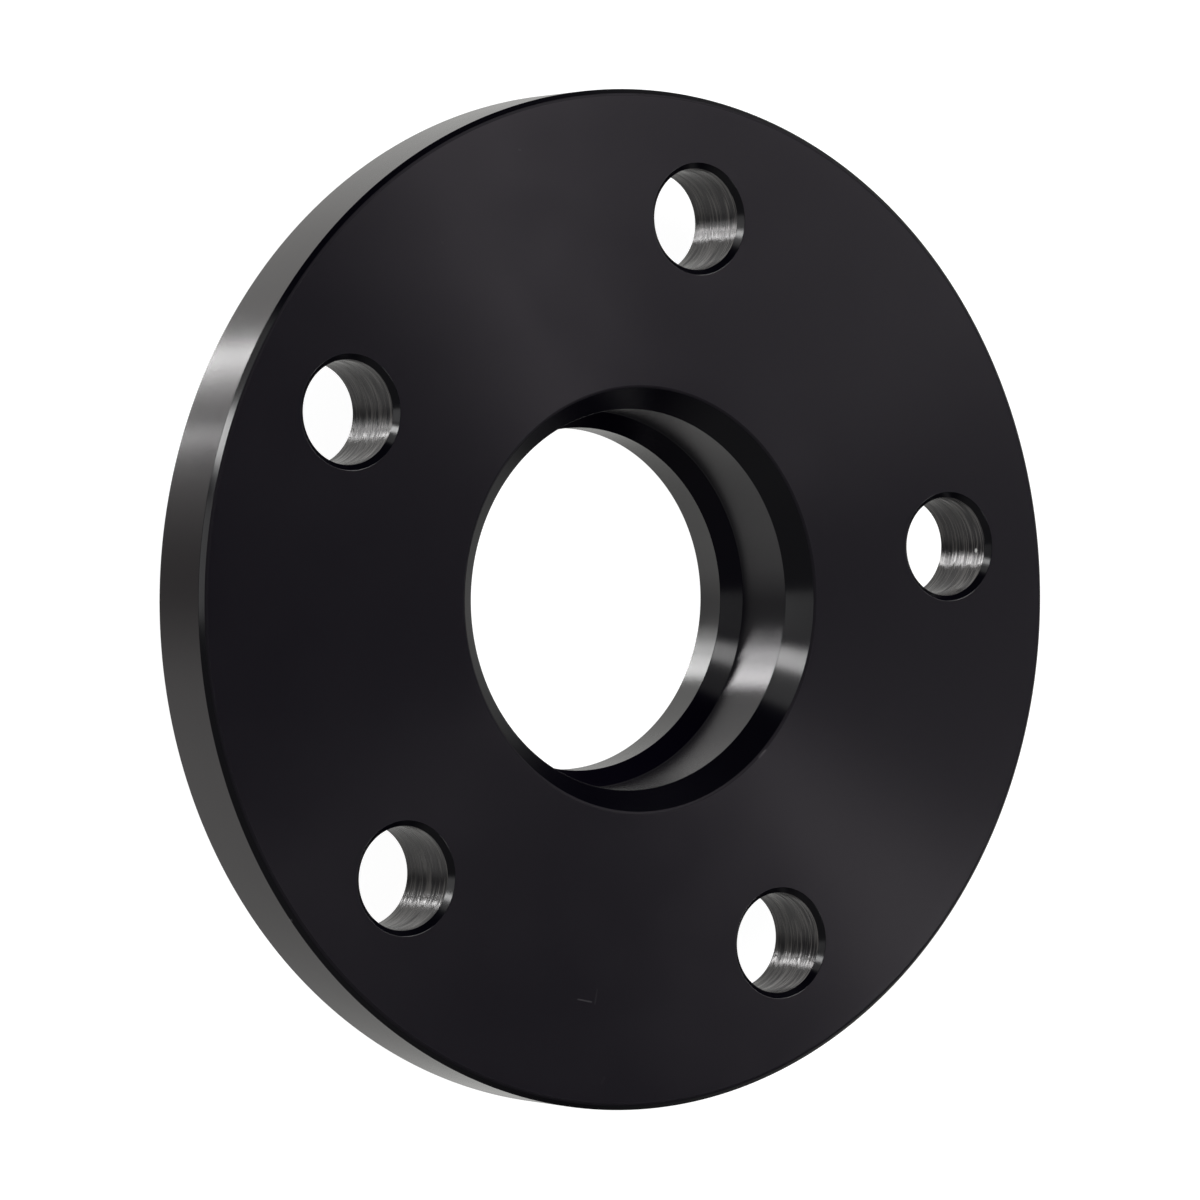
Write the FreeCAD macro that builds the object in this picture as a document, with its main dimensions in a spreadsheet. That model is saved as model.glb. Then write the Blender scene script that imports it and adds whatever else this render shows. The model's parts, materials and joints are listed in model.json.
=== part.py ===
import FreeCAD, Part
import math
import os
import Sketcher

# Hub-centric wheel spacer for a five-stud hub: a flat disc with a stepped centre bore
# and a centring lip, all turned from one blank, and plain holes for the wheel studs.
# It lies on the end of its lip with the hub face up. Z is the turning axis, and the
# origin is the middle of the lip's end. All lengths are in millimetres.

NODE = "wheel_spacer"

os.makedirs("parts", exist_ok=True)
doc = FreeCAD.newDocument(NODE)

# Driving dimensions

DIMENSIONS = [
    ("outer_diameter", 150.0, "disc over its rim"),
    ("plate_thickness", 12.5, "what the spacer adds between hub and wheel"),
    ("rim_chamfer", 0.8, "45 degree chamfer on both edges of the rim"),
    ("edge_round", 0.6, "rounding where a chamfer meets the hub face"),
    ("hub_spigot_diameter", 56.1, "spigot of the hub, which enters the recess"),
    ("hub_clearance", 0.1, "recess diameter less hub spigot diameter"),
    ("recess_depth", 14.1, "the straight wall of the recess ends this far below the hub face"),
    ("recess_chamfer", 3.2, "45 degree lead-in of the recess"),
    ("wheel_bore_diameter", 56.1, "centre bore of the wheel, which goes over the lip"),
    ("wheel_clearance", 0.1, "wheel bore diameter less lip diameter"),
    ("lip_wall", 2.4, "wall of the lip, which its conical root keeps round the inner step"),
    ("lip_length", 9.5, "lip beyond the wheel face"),
    ("lip_chamfer", 1.0, "45 degree lead-in of the lip"),
    ("lip_edge_break", 0.2, "45 degree chamfer inside the end of the lip"),
    ("bolt_circle_diameter", 114.3, "circle through the centres of the bolt holes"),
    ("bolt_count", 5, "bolt holes on that circle"),
    ("bolt_hole_diameter", 15.0, "clearance hole for a wheel stud"),
    ("bolt_hole_chamfer", 0.8, "45 degree chamfer on both ends of a bolt hole"),
]

sheet = doc.addObject("Spreadsheet::Sheet", "Dimensions")
for row, (alias, value, meaning) in enumerate(DIMENSIONS, start=1):
    sheet.set(f"A{row}", alias)
    sheet.set(f"B{row}", str(value))
    sheet.set(f"C{row}", meaning)
    sheet.setAlias(f"B{row}", alias)
doc.recompute()


def size(alias):
    """A driving dimension as the sheet holds it."""
    return float(sheet.get(alias))


def dim(alias):
    """A driving dimension as an expression."""
    return f"Dimensions.{alias}"


# Radii and heights that follow from the driving dimensions

RIM = f"({dim('outer_diameter')} / 2)"
RECESS = f"(({dim('hub_spigot_diameter')} + {dim('hub_clearance')}) / 2)"
LIP = f"(({dim('wheel_bore_diameter')} - {dim('wheel_clearance')}) / 2)"
LIP_BORE = f"({LIP} - {dim('lip_wall')})"
WHEEL_FACE = dim("lip_length")
HUB_FACE = f"({WHEEL_FACE} + {dim('plate_thickness')})"
RECESS_END = f"({HUB_FACE} - {dim('recess_depth')})"

# The root of the lip is a 45 degree cone. It passes the end of the recess with the
# lip's own wall between them, measured along a radius.
ROOT = f"({RECESS} + {dim('lip_wall')} + {WHEEL_FACE} - {RECESS_END})"

# Half section of the turned blank: radius and height of each corner, from the inner
# edge of the hub face round the rim and the lip and back up the bore.
SECTION = {
    "hub_face_inner": (f"{RECESS} + {dim('recess_chamfer')}", HUB_FACE),
    "hub_face_outer": (f"{RIM} - {dim('rim_chamfer')}", HUB_FACE),
    "rim_hub_side": (RIM, f"{HUB_FACE} - {dim('rim_chamfer')}"),
    "rim_wheel_side": (RIM, f"{WHEEL_FACE} + {dim('rim_chamfer')}"),
    "wheel_face_outer": (f"{RIM} - {dim('rim_chamfer')}", WHEEL_FACE),
    "wheel_face_inner": (ROOT, WHEEL_FACE),
    "root_end": (LIP, f"{WHEEL_FACE} - ({ROOT} - {LIP})"),
    "lip_end": (LIP, dim("lip_chamfer")),
    "lip_tip_outer": (f"{LIP} - {dim('lip_chamfer')}", "0"),
    "lip_tip_inner": (f"{LIP_BORE} + {dim('lip_edge_break')}", "0"),
    "lip_bore_bottom": (LIP_BORE, dim("lip_edge_break")),
    "lip_bore_top": (LIP_BORE, f"{RECESS_END} - ({RECESS} - {LIP_BORE})"),
    "recess_bottom": (RECESS, RECESS_END),
    "recess_top": (RECESS, f"{HUB_FACE} - {dim('recess_chamfer')}"),
}

body = doc.addObject("PartDesign::Body", "WheelSpacer")
body.Label = NODE


def origin_plane(role):
    """One of the body's own origin planes."""
    return next(o for o in body.Origin.OriginFeatures if o.Role == role)


def new_sketch(name, plane):
    """An empty sketch on one of the body's origin planes."""
    sketch = body.newObject("Sketcher::SketchObject", name)
    sketch.AttachmentSupport = [(origin_plane(plane), "")]
    sketch.MapMode = "FlatFace"
    return sketch


def add_dimension(sketch, name, constraint, expression):
    """A named dimension in a sketch, bound to an expression on the sheet."""
    index = sketch.addConstraint(constraint)
    sketch.renameConstraint(index, name)
    sketch.setExpression(f"Constraints.{name}", expression)


def evaluate(expression):
    """The value of an expression in millimetres."""
    return float(sheet.evalExpression(expression))


# Turned blank

section = new_sketch("TurnedSection", "XZ_Plane")
corners = [FreeCAD.Vector(evaluate(r), evaluate(z), 0) for r, z in SECTION.values()]
for start, end in zip(corners, corners[1:] + corners[:1]):
    section.addGeometry(Part.LineSegment(start, end), False)
for line in range(len(corners)):
    section.addConstraint(Sketcher.Constraint("Coincident", line, 2, (line + 1) % len(corners), 1))
for line, (name, (radius, height)) in enumerate(SECTION.items()):
    point = corners[line]
    add_dimension(section, f"{name}_radius",
                  Sketcher.Constraint("DistanceX", -1, 1, line, 1, point.x), radius)
    if height == "0":
        section.addConstraint(Sketcher.Constraint("PointOnObject", line, 1, -1))
    else:
        add_dimension(section, f"{name}_height",
                      Sketcher.Constraint("DistanceY", -1, 1, line, 1, point.y), height)

blank = body.newObject("PartDesign::Revolution", "TurnedBlank")
blank.Profile = section
blank.ReferenceAxis = (section, ["V_Axis"])
blank.Angle = 360
doc.recompute()


def round_edges(shape, radius, heights, centre=0.0):
    """Names of the circular edges of a radius at some heights, centred that far from the axis."""
    names = []
    for number, edge in enumerate(shape.Edges, start=1):
        if not isinstance(edge.Curve, Part.Circle):
            continue
        middle = edge.Curve.Center
        if (math.isclose(edge.Curve.Radius, radius, abs_tol=1e-4)
                and math.isclose(math.hypot(middle.x, middle.y), centre, abs_tol=1e-4)
                and any(math.isclose(middle.z, height, abs_tol=1e-4) for height in heights)):
            names.append(f"Edge{number}")
    return names


# Both rims of the hub face are rounded off, because the face seats against the hub

hub_face = evaluate(HUB_FACE)
wheel_face = evaluate(WHEEL_FACE)
inner_rim = round_edges(blank.Shape, corners[0].x, [hub_face])
outer_rim = round_edges(blank.Shape, corners[1].x, [hub_face])

rounding = body.newObject("PartDesign::Fillet", "HubFaceRounding")
rounding.Base = (blank, inner_rim + outer_rim)
rounding.setExpression("Radius", dim("edge_round"))
doc.recompute()

# Bolt holes

hole_circle = new_sketch("BoltHoleCircle", "XY_Plane")
hole_centre = FreeCAD.Vector(0, size("bolt_circle_diameter") / 2, 0)
hole_radius = size("bolt_hole_diameter") / 2
hole_circle.addGeometry(Part.Circle(hole_centre, FreeCAD.Vector(0, 0, 1), hole_radius), False)
hole_circle.addConstraint(Sketcher.Constraint("PointOnObject", 0, 3, -2))
add_dimension(hole_circle, "bolt_circle_radius",
              Sketcher.Constraint("DistanceY", -1, 1, 0, 3, hole_centre.y),
              f"{dim('bolt_circle_diameter')} / 2")
add_dimension(hole_circle, "bolt_hole_diameter",
              Sketcher.Constraint("Diameter", 0, 2 * hole_radius), dim("bolt_hole_diameter"))

hole = body.newObject("PartDesign::Pocket", "BoltHole")
hole.Profile = hole_circle
hole.Type = "ThroughAll"
hole.Reversed = True
doc.recompute()

holes = body.newObject("PartDesign::PolarPattern", "BoltHoles")
holes.Originals = [hole]
holes.Axis = (hole_circle, ["N_Axis"])
holes.Angle = 360
holes.setExpression("Occurrences", dim("bolt_count"))
body.Tip = holes
doc.recompute()

drilled = size("bolt_count") * math.pi * hole_radius ** 2 * size("plate_thickness")
removed = rounding.Shape.Volume - holes.Shape.Volume
if not math.isclose(removed, drilled, rel_tol=1e-4):
    raise RuntimeError(f"bolt holes took {removed:.1f} mm3, not {drilled:.1f}")

hole_edges = round_edges(holes.Shape, hole_radius, [wheel_face, hub_face], hole_centre.y)
chamfers = body.newObject("PartDesign::Chamfer", "BoltHoleChamfers")
chamfers.Base = (holes, hole_edges)
chamfers.setExpression("Size", dim("bolt_hole_chamfer"))
body.Tip = chamfers
doc.recompute()

# The whole document is checked before anything is written

for item in doc.Objects:
    if "Invalid" in item.State or "Error" in item.State:
        raise RuntimeError(f"{item.Name} failed: {item.State}")
for sketch in (section, hole_circle):
    if not sketch.FullyConstrained:
        raise RuntimeError(f"{sketch.Name} is not fully constrained")
if body.Shape.isNull() or not body.Shape.isValid() or len(body.Shape.Solids) != 1:
    raise RuntimeError(f"{body.Label} is not one valid solid")

body.Shape.exportStep(os.path.join("parts", f"{body.Label}.step"))
box = body.Shape.optimalBoundingBox(False, False)
print(f"{body.Label}: {box.XLength:.2f} x {box.YLength:.2f} x {box.ZLength:.2f} mm,"
      f" {body.Shape.Volume:.0f} mm3, {len(body.Shape.Faces)} faces,"
      f" {len(hole_edges)} chamfered hole edges")
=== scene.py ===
# %% [markdown]
# # A black anodised wheel spacer
#
# The part is one disc turned from aluminium. The imported CAD model is the frame: it gives the
# sizes, and every mesh made here lies exactly where it does. The first cell loads that frame.

# %% Load the frame
import json
import math

import bmesh
import bpy
from mathutils import Matrix, Vector


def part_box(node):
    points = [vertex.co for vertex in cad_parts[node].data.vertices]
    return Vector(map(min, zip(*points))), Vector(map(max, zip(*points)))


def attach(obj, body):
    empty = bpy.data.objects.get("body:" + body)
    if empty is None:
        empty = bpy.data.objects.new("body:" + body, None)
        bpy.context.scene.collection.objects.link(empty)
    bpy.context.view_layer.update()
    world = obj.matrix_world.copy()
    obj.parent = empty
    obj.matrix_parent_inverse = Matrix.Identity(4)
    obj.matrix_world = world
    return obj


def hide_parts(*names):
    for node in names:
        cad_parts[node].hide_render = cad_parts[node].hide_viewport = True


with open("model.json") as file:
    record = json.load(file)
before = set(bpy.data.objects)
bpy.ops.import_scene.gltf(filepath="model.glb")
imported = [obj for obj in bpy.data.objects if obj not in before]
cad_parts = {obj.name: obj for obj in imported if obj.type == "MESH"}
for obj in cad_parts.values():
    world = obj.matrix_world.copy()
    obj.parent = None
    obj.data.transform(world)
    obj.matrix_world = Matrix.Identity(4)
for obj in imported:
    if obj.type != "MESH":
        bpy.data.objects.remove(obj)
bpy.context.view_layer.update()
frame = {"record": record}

CAD_NODE = "wheel_spacer"

# %% [markdown]
# ## Sizes
#
# The record that comes with the model lists its mounts, the places where other parts fasten on.
# They carry the real sizes, so they are read from it and typed nowhere. Only the edge breaks
# are named here, because no part mates with them.

# %% Read the sizes
MM = 0.001
mounts = {mount["name"]: mount for mount in frame["record"]["mounts"]}


def wall_of(name):
    """Radius, lower end and upper end of a round mount's straight wall, in metres."""
    mount = mounts[name]
    half = mount["dims"]["length_mm"] / 2 * MM
    height = mount["pos_m"][2]
    return mount["dims"]["r_mm"] * MM, height - half, height + half


recess_radius, recess_low, recess_high = wall_of("hub_recess")
lip_radius, lip_low, lip_high = wall_of("centring_lip")
bore_radius, bore_low, bore_high = wall_of("cap_way")
hub_face = mounts["hub_face"]["pos_m"][2]
wheel_face = mounts["wheel_face"]["pos_m"][2]
rim_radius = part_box(CAD_NODE)[1].x
bolt_circle = mounts["stud_holes"]["dims"]["pcd_mm"] / 2 * MM
hole_radius = mounts["stud_holes"]["dims"]["hole_r_mm"] * MM
hole_count = mounts["stud_holes"]["dims"]["count"]

RIM_CHAMFER = 0.8 * MM
HOLE_CHAMFER = 0.8 * MM
print(f"rim radius {rim_radius / MM:.2f} mm, plate {(hub_face - wheel_face) / MM:.2f} mm,"
      f" {hole_count} holes of radius {hole_radius / MM:.2f} mm")

# %% [markdown]
# ## Camera
#
# The picture looks down on the hub face from about 34 degrees off its axis. A long lens, 172 mm
# on a 36 mm sensor, keeps the circles nearly true ellipses. The camera comes before any modelling,
# so that each piece can be judged in the final view. Its axes are given as three vectors, because
# the top of the picture isn't world up: the part lies flat, but is seen as if it stood on its rim.

# %% Place the camera
CAMERA_PLACE = Vector((-471.39, -76.50, 713.87)) * MM
PICTURE_RIGHT = Vector((0.81455, 0.14472, 0.56175))
PICTURE_UP = Vector((-0.17022, 0.98538, -0.00705))
FOCAL_LENGTH = 171.65    # in millimetres, as is the width of the sensor
SENSOR_WIDTH = 36
FAR_LIMIT = 10           # metres, past the far edge of the floor

camera = bpy.data.objects.new("camera", bpy.data.cameras.new("camera"))
bpy.context.scene.collection.objects.link(camera)
backwards = PICTURE_RIGHT.cross(PICTURE_UP)
camera.matrix_world = (Matrix.Translation(CAMERA_PLACE)
                       @ Matrix((PICTURE_RIGHT, PICTURE_UP, backwards)).transposed().to_4x4())
camera.data.lens = FOCAL_LENGTH
camera.data.sensor_width = SENSOR_WIDTH
camera.data.clip_end = FAR_LIMIT
bpy.context.scene.camera = camera
print(f"camera {math.degrees(backwards.angle(Vector((0, 0, 1)))):.1f} degrees off the axis,"
      f" {CAMERA_PLACE.length:.3f} m away")

# %% [markdown]
# ## The turned body
#
# On a lathe, a tool follows the half section of the part while the blank spins. Spin does the same
# with a chain of edges, so the body starts as two chains: one goes round the rim, the other up
# through the lip and the bore. A third chain is the section of a bolt hole. Real corners are never
# perfectly sharp, and it is their narrow rounding that catches the light, so each corner has a
# radius of its own.

# %% Corners of the half sections
SHARP = 0.10 * MM         # what is left of a corner after a light deburring
NOSE = 0.25 * MM          # radius that the tip of the tool leaves in an inside corner
EDGE_ROUND = 0.6 * MM     # rounding of both edges of the hub face
FACE_BORDER = 1.2 * MM    # how far a chain reaches onto a flat face

recess_mouth = recess_radius + hub_face - recess_high
root_radius = lip_radius + wheel_face - lip_high
lip_chamfer = lip_low
rim_edge = rim_radius - RIM_CHAMFER

# Each corner: distance from the axis, height, and the radius that it is rounded to
RIM_CHAIN = [
    (rim_edge - FACE_BORDER, hub_face, 0),
    (rim_edge, hub_face, EDGE_ROUND),
    (rim_radius, hub_face - RIM_CHAMFER, SHARP),
    (rim_radius, wheel_face + RIM_CHAMFER, SHARP),
    (rim_edge, wheel_face, SHARP),
    (rim_edge - FACE_BORDER, wheel_face, 0),
]
BORE_CHAIN = [
    (root_radius + FACE_BORDER, wheel_face, 0),
    (root_radius, wheel_face, NOSE),
    (lip_radius, lip_high, NOSE),
    (lip_radius, lip_low, SHARP),
    (lip_radius - lip_chamfer, 0, SHARP),
    (bore_radius + bore_low, 0, SHARP),
    (bore_radius, bore_low, SHARP),
    (bore_radius, bore_high, SHARP),
    (recess_radius, recess_low, NOSE),
    (recess_radius, recess_high, SHARP),
    (recess_mouth, hub_face, EDGE_ROUND),
    (recess_mouth + FACE_BORDER, hub_face, 0),
]
HOLE_CHAIN = [
    (hole_radius + HOLE_CHAMFER + FACE_BORDER, hub_face, 0),
    (hole_radius + HOLE_CHAMFER, hub_face, SHARP),
    (hole_radius, hub_face - HOLE_CHAMFER, SHARP),
    (hole_radius, wheel_face + HOLE_CHAMFER, SHARP),
    (hole_radius + HOLE_CHAMFER, wheel_face, SHARP),
    (hole_radius + HOLE_CHAMFER + FACE_BORDER, wheel_face, 0),
]
print("corners drawn: rim", len(RIM_CHAIN), "bore", len(BORE_CHAIN), "hole", len(HOLE_CHAIN))

# %% [markdown]
# The corners are joined into a chain of edges, and then each one is bevelled. A bevel of single
# vertices rounds a chain in its own plane. Its offset is how far the rounding reaches along both
# edges, which follows from the radius and from how sharply the chain turns.

# %% Round the corners of a chain
SEGMENTS = 5
MOST_REACH = 0.4    # a rounding takes no more than this share of the edges beside it


def add_chain(bm, corners):
    """Edges through the corners of a half section, in the XZ plane, with each corner rounded."""
    points = [Vector((radius, 0, height)) for radius, height, _ in corners]
    verts = [bm.verts.new(point) for point in points]
    for start, end in zip(verts, verts[1:]):
        bm.edges.new((start, end))
    for number in range(1, len(points) - 1):
        arriving = points[number] - points[number - 1]
        leaving = points[number + 1] - points[number]
        reach = corners[number][2] * math.tan(arriving.angle(leaving) / 2)
        # A short chamfer leaves less room than its two roundings ask for
        room = MOST_REACH * min(arriving.length, leaving.length)
        bmesh.ops.bevel(bm, geom=[verts[number]], offset=min(reach, room), offset_type="OFFSET",
                        affect="VERTICES", segments=SEGMENTS, profile=0.5, material=-1)


probe = bmesh.new()
add_chain(probe, BORE_CHAIN)
print(f"the bore's chain has {len(probe.verts)} points after rounding")
probe.free()

# %% [markdown]
# Now the chains are spun: the rim and the bore round the part's own axis, and the hole's chain
# round each hole's axis. The first hole is on the Y axis. A full spin ends where it began, so the
# vertices of its last step are merged with those of the first.

# %% Spin the chains
RIM_STEPS = 288
HOLE_STEPS = 96
SAME_PLACE = 1e-7                 # metres, the distance under which two points are one
FIRST_HOLE = math.radians(90)
HOLE_PITCH = math.tau / hole_count


def spin_chain(bm, corners, centre, steps):
    """Spins a chain all the way round a vertical axis and adds it to the mesh."""
    part = bmesh.new()
    add_chain(part, corners)
    bmesh.ops.translate(part, vec=centre, verts=part.verts)
    bmesh.ops.spin(part, geom=part.verts[:] + part.edges[:], cent=centre, axis=(0, 0, 1),
                   dvec=(0, 0, 0), angle=math.tau, steps=steps, use_merge=True,
                   use_duplicate=False)
    bmesh.ops.remove_doubles(part, verts=part.verts, dist=SAME_PLACE)
    mesh = bpy.data.meshes.new("chain")
    part.to_mesh(mesh)
    part.free()
    bm.from_mesh(mesh)
    bpy.data.meshes.remove(mesh)


body = bmesh.new()
spin_chain(body, RIM_CHAIN, Vector((0, 0, 0)), RIM_STEPS)
spin_chain(body, BORE_CHAIN, Vector((0, 0, 0)), RIM_STEPS)
hole_centres = []
for number in range(hole_count):
    angle = FIRST_HOLE + number * HOLE_PITCH
    hole_centres.append(Vector((math.cos(angle), math.sin(angle), 0)) * bolt_circle)
    spin_chain(body, HOLE_CHAIN, hole_centres[-1], HOLE_STEPS)
print(f"{len(body.faces)} faces spun")

# %% [markdown]
# Two flat rings with holes in them are still open, the hub face and the wheel face. Triangle fill
# closes such a face from its borders alone. The chains reach a little way onto the flat faces, so
# that the long thin triangles of the fill never touch a rounded edge, where they would spoil the
# shading.

# %% Fill the flat faces
for height in (hub_face, wheel_face):
    border = [edge for edge in body.edges if edge.is_boundary
              and all(abs(vert.co.z - height) < SAME_PLACE for vert in edge.verts)]
    bmesh.ops.triangle_fill(body, use_beauty=True, use_dissolve=False, edges=border,
                            normal=(0, 0, 1 if height == hub_face else -1))
bmesh.ops.recalc_face_normals(body, faces=body.faces)
still_open = [edge for edge in body.edges if not edge.is_manifold]
print(f"{len(body.faces)} faces after filling, {len(still_open)} open edges,"
      f" {body.calc_volume() * 1e9:.0f} mm3")

# %% [markdown]
# ## Which surface is which
#
# All of the part is anodised black, but the oxide keeps the marks of the tool that cut the metal
# under it, and these differ: the flat faces are smooth and satin, the round walls are turned a
# little coarser, the chamfers are nearly polished, and the bolt holes show the torn rings of a
# drill. The rim, the inside of the lip, the step above it and the rounded edges of the hub face
# shine a little differently again. One mesh carries all of these finishes, because it is one
# piece. Each face gets the number of its finish, found from the face's place and its slope.

# %% Sort the faces by finish
FINISHES = ["faced black", "turned black", "chamfered black", "drilled black", "rim black",
            "lip black", "step black", "rounded black"]
FACED, TURNED, CHAMFERED, DRILLED, RIM, LIP, STEP, ROUNDED = range(8)

# Upright part of a face's normal: 1 on a flat face, 0.707 on a 45 degree chamfer, 0 on a wall
FLAT = 0.97
TILTED_ROUNDING = (0.72, 0.9985)
STEEP = 0.30
ON_WALL = 0.02 * MM    # how far the middle of a face may lie off the wall that it belongs to


def finish_of(face):
    """Number of the finish that a face of the body has."""
    middle = face.calc_center_median()
    slope = abs(face.normal.z)
    radius = math.hypot(middle.x, middle.y)
    from_hole = min(math.hypot(middle.x - hole.x, middle.y - hole.y) for hole in hole_centres)
    if from_hole < hole_radius + ON_WALL:
        return DRILLED
    at_edge = radius > rim_edge - EDGE_ROUND or radius < recess_mouth + EDGE_ROUND
    tilted = TILTED_ROUNDING[0] < slope < TILTED_ROUNDING[1]
    if at_edge and tilted and middle.z > hub_face - EDGE_ROUND / 2:
        return ROUNDED
    if slope > FLAT:
        return FACED
    if slope > STEEP:
        return STEP if bore_high < middle.z < recess_low else CHAMFERED
    if radius > rim_radius - SHARP:
        return RIM
    return LIP if radius < bore_radius + ON_WALL else TURNED


for face in body.faces:
    face.material_index = finish_of(face)
for number, finish in enumerate(FINISHES):
    print(finish, sum(face.material_index == number for face in body.faces))

# %% [markdown]
# ## The piece
#
# The mesh becomes one object that stays at the origin, unturned and unscaled, because its place
# is in its mesh. Smooth shading makes the narrow facets look round. A Weighted Normal modifier
# lets the large faces decide the normals, so that the flat faces stay flat right up to their
# rounded edges.

# %% Make the disc
disc_mesh = bpy.data.meshes.new("turned_disc")
body.to_mesh(disc_mesh)
body.free()
disc_mesh.shade_smooth()
disc = bpy.data.objects.new("turned_disc", disc_mesh)
bpy.context.scene.collection.objects.link(disc)

by_area = disc.modifiers.new("normals by area", "WEIGHTED_NORMAL")
by_area.mode = "FACE_AREA"
by_area.weight = 50

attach(disc, "root")
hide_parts(CAD_NODE)
print(disc.name, "has", len(disc_mesh.polygons), "faces and lies from",
      [round(value / MM, 2) for value in disc.bound_box[0]], "mm")

# %% [markdown]
# ## Nodes
#
# A finish is a small tree of nodes. Three helpers keep the trees readable: one adds a node and
# links or fills its sockets, one does a sum, and one does a sum with vectors.

# %% Helpers for node trees
def new_material(name):
    """A material with an empty tree but for its output and its surface shader."""
    material = bpy.data.materials.new(name)
    material.use_nodes = True
    tree = material.node_tree
    tree.nodes.clear()
    output = tree.nodes.new("ShaderNodeOutputMaterial")
    shader = tree.nodes.new("ShaderNodeBsdfPrincipled")
    tree.links.new(shader.outputs["BSDF"], output.inputs["Surface"])
    return material, tree, shader


def fill(tree, socket, value):
    """Links a socket to another node's output, or gives it a plain value."""
    if isinstance(value, bpy.types.NodeSocket):
        tree.links.new(value, socket)
    else:
        socket.default_value = value


def add_node(tree, kind, sockets, **settings):
    """A node of a kind with its settings, and its sockets filled by name or number."""
    node = tree.nodes.new("ShaderNode" + kind)
    for setting, value in settings.items():
        setattr(node, setting, value)
    for socket, value in sockets.items():
        fill(tree, node.inputs[socket], value)
    return node


def work_out(tree, operation, *values):
    """The result of a Math node."""
    return add_node(tree, "Math", dict(enumerate(values)), operation=operation).outputs[0]


def work_out_vector(tree, operation, *values):
    """The result of a Vector Math node: a number for a length or a dot product."""
    node = add_node(tree, "VectorMath", dict(enumerate(values)), operation=operation)
    return node.outputs["Value" if operation in ("LENGTH", "DOT_PRODUCT", "DISTANCE") else 0]


def spread(tree, value, low, high, from_low=0.0, from_high=1.0):
    """A value stretched from one range to another, and held at its ends."""
    return add_node(tree, "MapRange", {"Value": value, "From Min": from_low, "From Max": from_high,
                                       "To Min": low, "To Max": high}).outputs[0]


# %% [markdown]
# ## Black anodised aluminium
#
# Anodising turns the skin of the metal into clear oxide, and black dye fills it. What is seen is
# a black body under a hard, glassy surface that keeps every tool mark of the metal under it. So
# the shader isn't metallic: it is a nearly black dielectric, and its look is all in how it
# reflects. The lathe left fine grooves that run round the axis. Across a groove the surface is
# rough, and along it smooth, so a lamp is smeared into a fan that points at the centre. That is
# what Anisotropic does. It needs to know which way the grooves run: Z crossed with the place of
# the point is a vector round the axis, and a quarter turn of Anisotropic Rotation stretches the
# highlight across the grooves.

# %% Colours and the way of the grooves
DYE = (0.0010, 0.0005, 0.0030, 1)
FACE_SHEEN = (1.0, 0.925, 0.99, 1)
PLAIN_SHEEN = (1.0, 1.0, 1.0, 1)
QUARTER_TURN = 0.25
HEIGHT_WEIGHT = 1.7    # not 1, which would give all of a 45 degree chamfer one number


def along_groove(tree, place):
    """Direction of the tool marks round a vertical axis through the place's own zero."""
    around = work_out_vector(tree, "CROSS_PRODUCT", (0, 0, 1), place)
    return work_out_vector(tree, "NORMALIZE", around)


def section_way(tree, place):
    """A number that grows along the section: outwards on a face and upwards on a wall."""
    flat = work_out_vector(tree, "MULTIPLY", place, (1, 1, 0))
    radius = work_out_vector(tree, "LENGTH", flat)
    height = add_node(tree, "SeparateXYZ", {0: place}).outputs["Z"]
    return work_out(tree, "ADD", radius, work_out(tree, "MULTIPLY", height, HEIGHT_WEIGHT))


print("colour of the dyed oxide:", DYE[:3])

# %% [markdown]
# ## Marks of use, and a painted glint
#
# The part is nearly new. There is one clear scratch on the face below the bore, a few faint ones,
# and a small pale spot on the rim's edge. A scratch cuts through the dye, so it shows as a paler
# body colour. One more pale line, on the rounded edge of the recess, is a painted highlight: the
# glint where a lamp's fan starts. Each one is a short line. The shader takes the distance of a
# point from that line and turns it into a soft edge. This keeps the marks in the material, where
# they can't disturb the shading of the mesh.

# %% Scratches, and a painted glint
# Pale body colour of the scratches, also used for one painted highlight on the recess's rounded
# edge
SCRATCH_AND_GLINT_COLOUR = (0.030, 0.029, 0.030, 1)
MARK_CORE = 0.4    # share of a mark's half width that shows in full

# Each mark: start, end and half width in millimetres, and how plainly it shows
FACE_SCRATCHES_AND_GLINT = [
    ((-1.23, -59.35, 22), (1.18, -59.41, 22), 0.15, 1.0),
    ((1.89, -57.49, 22), (1.83, -59.63, 22), 0.15, 0.35),
    ((5.41, -70.00, 22), (5.04, -70.93, 22), 0.25, 0.20),
    ((-33.0, 60.40, 22), (-32.7, 60.40, 22), 0.20, 0.40),
    ((-43.6, 44.50, 22), (-43.4, 44.50, 22), 0.20, 0.25),
    # Painted highlight, not a nick: the glint on the rounded edge of the recess, where a lamp's
    # fan starts
    ((24.80, -19.50, 22), (25.70, -18.35, 22), 0.22, 1.2),
]
# A small pale spot on the rim's edge
EDGE_PALE_SPOTS = [
    ((-51.2, -54.8, 21.0), (-51.2, -54.8, 21.3), 0.30, 1.0),
]


def line_mark_mask(tree, place, line_marks):
    """How plainly a short line mark shows at a place, from 0 to 1: scratches, specks and one
    painted glint.
    """
    shows = 0.0
    for start, end, width, depth in line_marks:
        start, end = Vector(start) * MM, Vector(end) * MM
        way = end - start
        from_start = work_out_vector(tree, "SUBTRACT", place, start)
        share = work_out_vector(tree, "DOT_PRODUCT", from_start, way / way.length_squared)
        share = work_out(tree, "MAXIMUM", 0.0, work_out(tree, "MINIMUM", 1.0, share))
        nearest = work_out_vector(tree, "MULTIPLY", way, share)
        off = work_out_vector(tree, "DISTANCE", from_start, nearest)
        plain = spread(tree, off, depth, 0.0, MARK_CORE * width * MM, width * MM)
        shows = work_out(tree, "MAXIMUM", shows, plain)
    return shows


print(len(FACE_SCRATCHES_AND_GLINT), "scratches on the face,", len(EDGE_PALE_SPOTS), "on the rim's edge")

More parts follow.
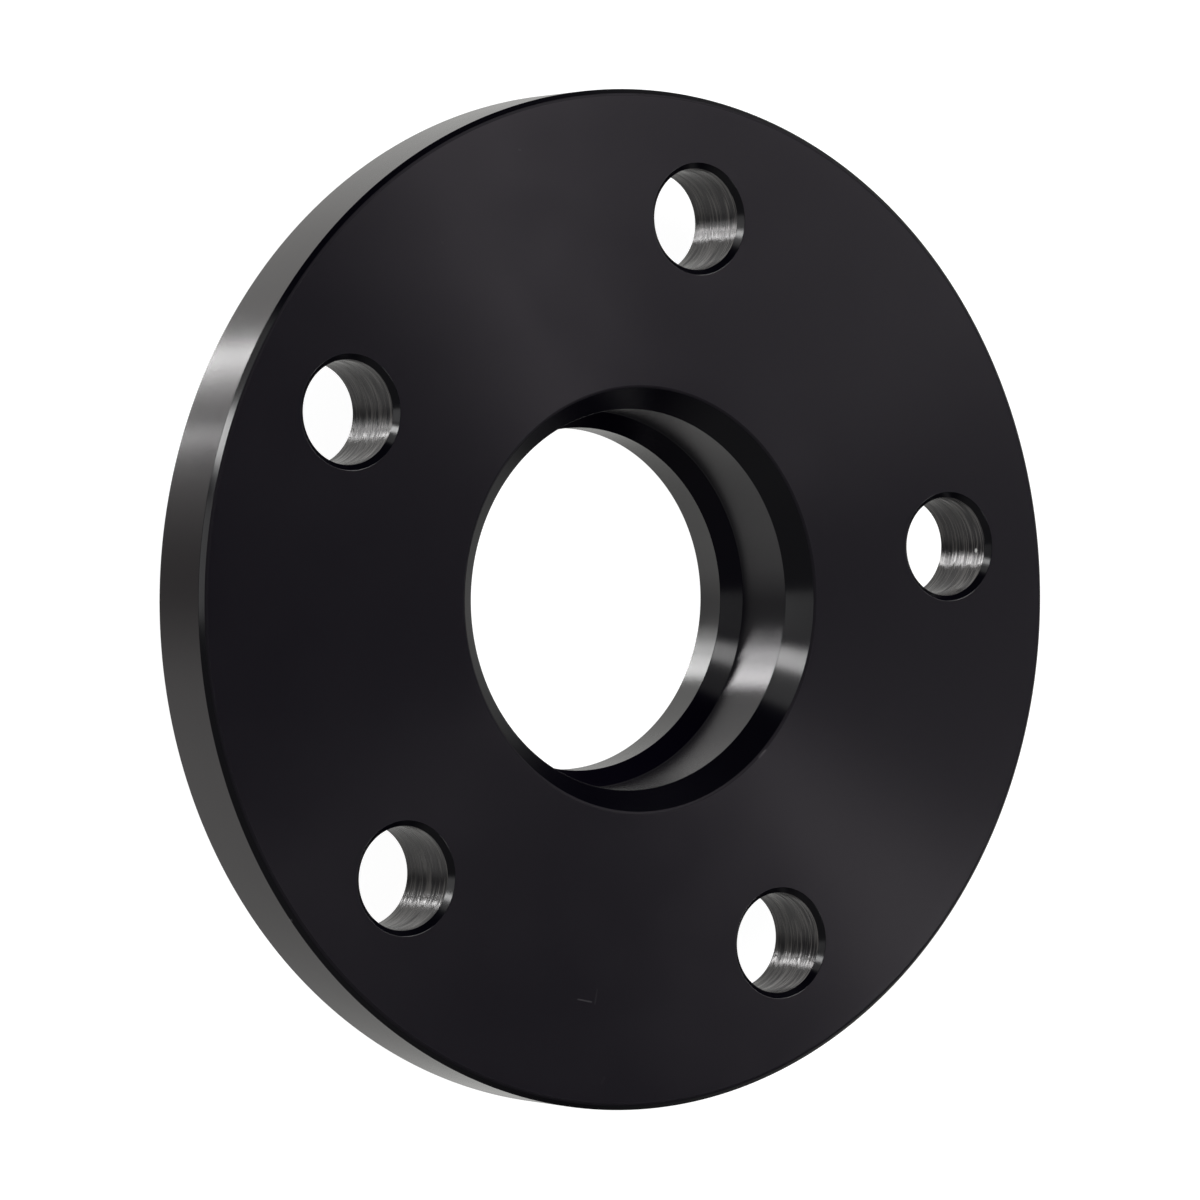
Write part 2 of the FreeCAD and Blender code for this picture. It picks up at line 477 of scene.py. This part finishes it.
# %% [markdown]
# ## Turned finishes
#
# One function makes all of the turned finishes. A noise that is read along the section only, and
# so is the same all the way round, stands for the grooves. It drives a faint bump and, mixed with
# a soft cloud, the roughness.

# %% A turned finish
GROOVE_DETAIL = 3.0
GROOVE_ROUGHNESS = 0.6
CLOUD_SCALE = 90.0             # clouds of roughness are about a centimetre wide
CLOUD_DETAIL = 3.0
NOISE_RANGE = (0.2, 0.8)       # nearly all of a noise's values lie between these


def anodised(name, roughness, spread_of_roughness, anisotropy, groove_pitch, groove_depth,
             groove_share=0.6, line_marks=(), body_colour=DYE, index=1.5, sheen=PLAIN_SHEEN):
    """Black anodised metal with turning marks of a pitch and a depth in metres."""
    material, tree, shader = new_material(name)
    place = add_node(tree, "TexCoord", {}).outputs["Object"]
    way = section_way(tree, place)
    grooves = add_node(tree, "TexNoise", {
        "W": way, "Scale": 1 / groove_pitch, "Detail": GROOVE_DETAIL,
        "Roughness": GROOVE_ROUGHNESS}, noise_dimensions="1D").outputs[0]
    cloud = add_node(tree, "TexNoise", {"Vector": place, "Scale": CLOUD_SCALE,
                                        "Detail": CLOUD_DETAIL}).outputs[0]
    uneven = work_out(tree, "ADD", work_out(tree, "MULTIPLY", grooves, groove_share),
                      work_out(tree, "MULTIPLY", cloud, 1 - groove_share))
    fill(tree, shader.inputs["Roughness"],
         spread(tree, uneven, roughness - spread_of_roughness, roughness + spread_of_roughness,
                *NOISE_RANGE))
    bump = add_node(tree, "Bump", {"Height": grooves, "Distance": groove_depth})
    fill(tree, shader.inputs["Normal"], bump.outputs[0])
    fill(tree, shader.inputs["Tangent"], along_groove(tree, place))
    shader.inputs["Base Color"].default_value = body_colour
    # Short line marks pale the body colour: scratches, and on the hub face one painted highlight
    if line_marks:
        shows = line_mark_mask(tree, place, line_marks)
        fill(tree, shader.inputs["Base Color"],
             work_out_vector(tree, "MULTIPLY_ADD", SCRATCH_AND_GLINT_COLOUR[:3], shows, body_colour[:3]))
    shader.inputs["IOR"].default_value = index
    shader.inputs["Specular Tint"].default_value = sheen
    shader.inputs["Anisotropic"].default_value = anisotropy
    shader.inputs["Anisotropic Rotation"].default_value = QUARTER_TURN
    print(f"{name}: {len(tree.nodes)} nodes")
    return material


print("a turned finish mixes grooves with clouds", round(1000 / CLOUD_SCALE), "mm wide")

# %% [markdown]
# The finishes differ in a few numbers. Roughness says how far a highlight spreads, Anisotropic how
# much further it goes across the grooves than along them, and the index of refraction how strongly
# the oxide mirrors. The inside of the lip has a paler body colour, because its dye took less, and
# the rim has a slightly paler one too. The rounded edges of the hub face are matt.

# %% The turned finishes
faced_black = anodised("faced_black", roughness=0.30, spread_of_roughness=0.015,
                       anisotropy=0.83, groove_pitch=0.5 * MM, groove_depth=0.0002 * MM,
                       groove_share=0.0, line_marks=FACE_SCRATCHES_AND_GLINT, sheen=FACE_SHEEN)
turned_black = anodised("turned_black", roughness=0.20, spread_of_roughness=0.06,
                        anisotropy=0.84, groove_pitch=0.3 * MM, groove_depth=0.003 * MM,
                        groove_share=0.9, sheen=(1.0, 0.97, 1.0, 1))
chamfered_black = anodised("chamfered_black", roughness=0.17, spread_of_roughness=0.02,
                           anisotropy=0.5, groove_pitch=0.25 * MM, groove_depth=0.001 * MM,
                           line_marks=EDGE_PALE_SPOTS, body_colour=(0.0008, 0.0006, 0.0022, 1))
rim_black = anodised("rim_black", roughness=0.19, spread_of_roughness=0.05, anisotropy=0.35,
                     groove_pitch=0.3 * MM, groove_depth=0.002 * MM, line_marks=EDGE_PALE_SPOTS,
                     body_colour=(0.009, 0.006, 0.008, 1), sheen=(1.0, 0.97, 0.985, 1))
lip_black = anodised("lip_black", roughness=0.20, spread_of_roughness=0.06, anisotropy=0.84,
                     groove_pitch=0.3 * MM, groove_depth=0.003 * MM, groove_share=0.9,
                     body_colour=(0.060, 0.058, 0.059, 1))
step_black = anodised("step_black", roughness=0.17, spread_of_roughness=0.04, anisotropy=0.5,
                      groove_pitch=0.25 * MM, groove_depth=0.002 * MM, index=1.31)
rounded_black = anodised("rounded_black", roughness=0.60, spread_of_roughness=0.05,
                         anisotropy=0.2, groove_pitch=0.5 * MM, groove_depth=0.0002 * MM,
                         line_marks=FACE_SCRATCHES_AND_GLINT, index=1.33, sheen=FACE_SHEEN)

# %% [markdown]
# ## Drilled walls
#
# A drill leaves coarser marks than a lathe: broken rings and short tears round the wall, where
# chips dragged. Under the oxide they break the reflections up. The marks run round each hole's own
# axis, so a point is first placed from the middle of its own hole. The number of the hole comes
# from rounding the angle round the part. Noise that is squeezed along the axis makes the rings,
# and a slight slant lets them climb, as a drill does. It is read at the point's place on the part,
# so no two holes are alike.

# %% Rings round a hole
RING_DETAIL = 1.0


def place_in_hole(tree, place):
    """Place of a point measured from the axis of the bolt hole that it lies in."""
    parts = add_node(tree, "SeparateXYZ", {0: place})
    angle = work_out(tree, "ARCTAN2", parts.outputs["Y"], parts.outputs["X"])
    turns = work_out(tree, "DIVIDE", work_out(tree, "SUBTRACT", angle, FIRST_HOLE), HOLE_PITCH)
    middle = work_out(tree, "MULTIPLY_ADD", work_out(tree, "ROUND", turns), HOLE_PITCH,
                      FIRST_HOLE)
    centre = add_node(tree, "CombineXYZ", {
        "X": work_out(tree, "MULTIPLY", work_out(tree, "COSINE", middle), bolt_circle),
        "Y": work_out(tree, "MULTIPLY", work_out(tree, "SINE", middle), bolt_circle)})
    return work_out_vector(tree, "SUBTRACT", place, centre.outputs[0])


def drill_rings(tree, place, pitch, length, slant):
    """Noise in rings of a pitch along the hole, as long as given, that run up a little."""
    height = work_out_vector(tree, "DOT_PRODUCT", place, (slant, slant, 1.0))
    stretched = work_out_vector(tree, "MULTIPLY", place, (pitch / length, pitch / length, 0.0))
    lifted = add_node(tree, "CombineXYZ", {"Z": height}).outputs[0]
    return add_node(tree, "TexNoise", {
        "Vector": work_out_vector(tree, "ADD", stretched, lifted), "Scale": 1 / pitch,
        "Detail": RING_DETAIL}).outputs[0]


print("the bolt holes are", round(math.degrees(HOLE_PITCH)), "degrees apart")

# %% [markdown]
# Fine rings lie over coarse ones. The tops of the fine rings get a paler colour: painted sheen,
# which stands in for the glint of the drill marks. Where the drill chattered, the wall faces a
# little to one side, and that frays the edges of a highlight. One pale speck sits near the mouth
# of a hole.

# %% Drilled finish
# Rings: pitch along the hole, length round it, and how steeply they climb
FINE_RINGS = (0.32 * MM, 7 * MM, 0.05)
COARSE_RINGS = (0.9 * MM, 10 * MM, -0.08)
FINE_SHARE = 0.6
# Ring tops get this paler colour: painted sheen, standing in for the glint of the drill marks
RING_TOP_SHEEN = (0.095, 0.089, 0.086, 1)
RING_TOP_SHEEN_RANGE = (0.50, 0.60)         # of the noise, from no painted sheen to full
DRILLED_ROUGHNESS = (0.31, 0.13)    # in the valleys and on the tops of the marks
MARKS_RANGE = (0.38, 0.62)
MARKS_DEPTH = 0.01 * MM
CHATTER = 0.20                      # how far the wall turns aside, as the tangent of an angle
SPECK = (0.8, 0.8, 0.78)
HOLE_SPECKS = [
    ((61.81, 18.32, 19.1), (61.83, 18.38, 19.1), 0.40, 1.0),
]


def drilled(name):
    """Black anodised metal over the rings and tears that a drill leaves."""
    material, tree, shader = new_material(name)
    place = add_node(tree, "TexCoord", {}).outputs["Object"]
    in_hole = place_in_hole(tree, place)
    fine = drill_rings(tree, place, *FINE_RINGS)
    coarse = drill_rings(tree, place, *COARSE_RINGS)
    marks = work_out(tree, "ADD", work_out(tree, "MULTIPLY", fine, FINE_SHARE),
                     work_out(tree, "MULTIPLY", coarse, 1 - FINE_SHARE))
    # Painted sheen: the tops of the fine rings turn paler
    ring_sheen_ramp = add_node(tree, "ValToRGB", {"Fac": fine})
    for stop, position, colour in zip(ring_sheen_ramp.color_ramp.elements, RING_TOP_SHEEN_RANGE, (DYE, RING_TOP_SHEEN)):
        stop.position = position
        stop.color = colour
    sheen_and_speck_colour = work_out_vector(tree, "MULTIPLY_ADD", SPECK,
                               line_mark_mask(tree, place, HOLE_SPECKS), ring_sheen_ramp.outputs["Color"])
    fill(tree, shader.inputs["Base Color"], sheen_and_speck_colour)
    fill(tree, shader.inputs["Roughness"],
         spread(tree, marks, *DRILLED_ROUGHNESS, *MARKS_RANGE))
    around = along_groove(tree, in_hole)
    bump = add_node(tree, "Bump", {"Height": marks, "Distance": MARKS_DEPTH})
    sideways = work_out_vector(tree, "MULTIPLY", around, spread(tree, marks, -CHATTER, CHATTER))
    facing = work_out_vector(tree, "ADD", bump.outputs[0], sideways)
    fill(tree, shader.inputs["Normal"], work_out_vector(tree, "NORMALIZE", facing))
    fill(tree, shader.inputs["Tangent"], around)
    shader.inputs["IOR"].default_value = 1.45
    shader.inputs["Specular Tint"].default_value = (1.0, 0.96, 0.97, 1)
    shader.inputs["Anisotropic"].default_value = 0.8
    shader.inputs["Anisotropic Rotation"].default_value = QUARTER_TURN
    print(f"{name}: {len(tree.nodes)} nodes")
    return material


drilled_black = drilled("drilled_black")
for finish in (faced_black, turned_black, chamfered_black, drilled_black, rim_black,
               lip_black, step_black, rounded_black):
    disc_mesh.materials.append(finish)

# %% [markdown]
# ## Floor
#
# The photograph has no floor to be seen, only white with a trace of shadow. The camera sees the
# floor glow a little less than white, and lamps bring it to white where nothing shades it.
# Reflections in the part pass through the floor to the room below it. The rest of the light sees
# a plain pale floor.

# %% Lay the floor
FLOOR_GLOW = 0.97
FLOOR_COLOUR = (0.25, 0.25, 0.25, 1)
FLOOR_SIDE = 12.0

floor_shape = bmesh.new()
bmesh.ops.create_grid(floor_shape, x_segments=1, y_segments=1, size=FLOOR_SIDE / 2)
floor_mesh = bpy.data.meshes.new("pale_floor")
floor_shape.to_mesh(floor_mesh)
floor_shape.free()
floor = bpy.data.objects.new("pale_floor", floor_mesh)
bpy.context.scene.collection.objects.link(floor)
floor.visible_glossy = False
floor.visible_shadow = False

floor_look, floor_tree, floor_shader = new_material("pale_floor")
floor_shader.inputs["Base Color"].default_value = FLOOR_COLOUR
floor_shader.inputs["Roughness"].default_value = 1.0
floor_shader.inputs["Specular IOR Level"].default_value = 0.0
ray = add_node(floor_tree, "LightPath", {})
seen = work_out(floor_tree, "MAXIMUM", ray.outputs["Is Camera Ray"],
                work_out(floor_tree, "MAXIMUM", ray.outputs["Is Glossy Ray"],
                         ray.outputs["Is Transmission Ray"]))
floor_shader.inputs["Emission Color"].default_value = (1, 1, 1, 1)
fill(floor_tree, floor_shader.inputs["Emission Strength"],
     work_out(floor_tree, "MULTIPLY", seen, FLOOR_GLOW))
floor_mesh.materials.append(floor_look)
print(f"floor {FLOOR_SIDE:.0f} m wide at height {floor.location.z:.3f} m")

# %% [markdown]
# ## Lamps
#
# A black glossy part shows its lamps more than its own colour, so each lamp is there for a
# highlight in the photograph, and its place was found from that highlight: halfway between the
# camera and the lamp is the way that the shining surface faces. Most of the lamps are flat panels
# far from the part. Two narrow ones hang below the floor and near it, and make the pale double
# stripe on the wall of the recess. They are turned sideways, so that they look narrower from the
# rim, where the stripe is weaker. A panel's power is its brightness times pi times its area, so
# the brightness, which is what a mirror would show, is what is written here.

# %% Hang the lamps
WORLD_FOR_SHADE = 0.35    # brightness of the world for light that isn't seen or mirrored

# Each panel: its place, the point that it faces, the way that its long side runs, its length and
# width, and its brightness. Lengths are in metres.
PANELS = {
    "stripe_panel": ((-1.66, 0.58, 0.95), (0, 0, 0), (0.45, -0.15, 0.88), 0.66, 0.30, 13.0),
    "shoulder_panel": ((-1.44, 0.98, 0.98), (0, 0, 0), (0.40, -0.28, 0.88), 0.60, 0.45, 0.8),
    "side_panel": ((-1.73, -0.09, 1.00), (0, 0, 0), (0.49, 0.08, 0.87), 0.52, 0.66, 1.2),
    "top_panel": ((0.57, 1.31, 1.40), (0, 0, 0), (-0.42, -0.57, 0.70), 1.04, 0.50, 10.2),
    "right_panel": ((1.33, 0.85, 1.22), (0, 0, 0), (-0.74, 0.32, 0.59), 1.02, 0.38, 4.5),
    "edge_panel": ((1.63, -0.24, 1.13), (0, 0, 0), (0.02, 0.98, 0.18), 0.28, 0.26, 10.0),
    "edge_strip": ((1.69, 0.14, 1.23), (0, 0, 0), (-0.07, 1.0, -0.02), 0.96, 0.32, 2.6),
    "low_panel": ((-0.06, -1.08, 1.68), (0, 0, 0), (0.34, 0.79, 0.52), 0.82, 0.42, 3.75),
    "back_panel": ((-0.210, 0.172, -0.467), (0.673, 0.641, -0.467), (0, 0, 1),
                   0.305, 0.168, 13.0),
    "back_strip": ((-0.262, 0.105, -0.545), (0.346, 0.898, -0.545), (0, 0, 1),
                   0.24, 0.195, 10.5),
}


def hang_panel(name, place, faces, along, length, width, brightness):
    """A rectangular lamp that lights whatever it faces."""
    panel = bpy.data.lights.new(name, "AREA")
    panel.shape = "RECTANGLE"
    panel.size = length
    panel.size_y = width
    panel.energy = brightness * math.pi * length * width
    back = (Vector(place) - Vector(faces)).normalized()
    side = Vector(along)
    side = (side - back * side.dot(back)).normalized()
    lamp = bpy.data.objects.new(name, panel)
    lamp.matrix_world = (Matrix.Translation(place)
                         @ Matrix((side, back.cross(side), back)).transposed().to_4x4())
    lamp.visible_camera = False
    bpy.context.scene.collection.objects.link(lamp)


on_card = 0
for name, (place, faces, along, length, width, brightness) in PANELS.items():
    hang_panel(name, place, faces, along, length, width, brightness)
    away = Vector(place)
    if away.z > 0:
        on_card += brightness * length * width / away.length_squared * away.normalized().z
print(f"a white card on the floor would render at {on_card / math.pi + WORLD_FOR_SHADE:.2f}")

# %% [markdown]
# ## World
#
# The camera sees a white world, as the floor is white. In reflections the room is nearly dark
# where no lamp hangs, and that keeps the black part black. The photographed part stood on its
# rim, with the pale room behind it. Here it lies down, so that room is below the floor, and the
# floor lets reflections and shadows through to it. The room's brightness changes with the
# compass and with the height, so one color ramp is read for each, and the two are multiplied. The
# room is a trace warmer than the lamps, and a faint haze above the floor lights the chamfers.

# %% Brightness of the room
# How bright the room below the floor is in each compass direction: degrees from X, brightness
PALE_ROOM = [(-170, 0.20), (-150, 0.50), (-129, 0.56), (-89, 0.46), (-49, 0.47), (-19, 0.68),
             (6, 0.46), (31, 0.61), (71, 0.80), (101, 0.76), (130, 0.82), (178, 0.22)]
# How much of that brightness is left at a height, from straight down at -1 to straight up at 1
HOW_LOW = [(-0.87, 1.15), (-0.76, 1.0), (-0.52, 0.30), (-0.15, 0.20), (0.05, 0.0)]
DARK_ROOM = 0.010
ROOM_TINT = (1.0, 1.0, 0.975)
HAZE = 0.12
HAZE_WAY = (-0.40, -0.83, 0.39)
HAZE_EDGES = (0.45, 0.80)

world = bpy.data.worlds.new("studio")
bpy.context.scene.world = world
world.use_nodes = True
room = world.node_tree
room.nodes.clear()
direction = add_node(room, "TexCoord", {}).outputs["Generated"]
axes = add_node(room, "SeparateXYZ", {0: direction}).outputs
compass = work_out(room, "ARCTAN2", axes["Y"], axes["X"])


def brightness_along(tree, value, low, high, stops):
    """Brightness that runs through the stops while a value goes from low to high."""
    ramp = add_node(tree, "ValToRGB", {"Fac": spread(tree, value, 0, 1, low, high)})
    while len(ramp.color_ramp.elements) < len(stops):
        ramp.color_ramp.elements.new(0.5)
    for element, (place, level) in zip(ramp.color_ramp.elements, stops):
        element.position = (place - low) / (high - low)
        element.color = (level, level, level, 1)
    return ramp.outputs["Color"]


print("a compass ramp with", len(PALE_ROOM), "stops and a height ramp with", len(HOW_LOW))

# %% [markdown]
# Light Path tells what sort of ray asks. The camera gets white, reflections get the room, and all
# other rays get an even grey.

# %% Light the world
pale = brightness_along(room, work_out(room, "DEGREES", compass), -180, 180, PALE_ROOM)
below = brightness_along(room, axes["Z"], -1, 1, HOW_LOW)
in_gloss = work_out(room, "MULTIPLY_ADD", below, pale, DARK_ROOM)
towards_haze = work_out_vector(room, "DOT_PRODUCT", direction, HAZE_WAY)
in_gloss = work_out(room, "ADD", in_gloss, spread(room, towards_haze, 0.0, HAZE, *HAZE_EDGES))
ray = add_node(room, "LightPath", {})
gloss = ray.outputs["Is Glossy Ray"]
strength = work_out(room, "ADD", work_out(room, "MULTIPLY", gloss, in_gloss),
                    work_out(room, "MULTIPLY", work_out(room, "SUBTRACT", 1.0, gloss),
                             WORLD_FOR_SHADE))
strength = work_out(room, "MAXIMUM", strength, ray.outputs["Is Camera Ray"])
tint = work_out_vector(room, "MULTIPLY_ADD", Vector(ROOM_TINT) - Vector((1, 1, 1)), gloss,
                       (1, 1, 1))
background = add_node(room, "Background", {"Color": tint, "Strength": strength})
add_node(room, "OutputWorld", {"Surface": background.outputs[0]})
bpy.context.scene.view_settings.view_transform = "Standard"
print("the world has", len(room.nodes), "nodes")
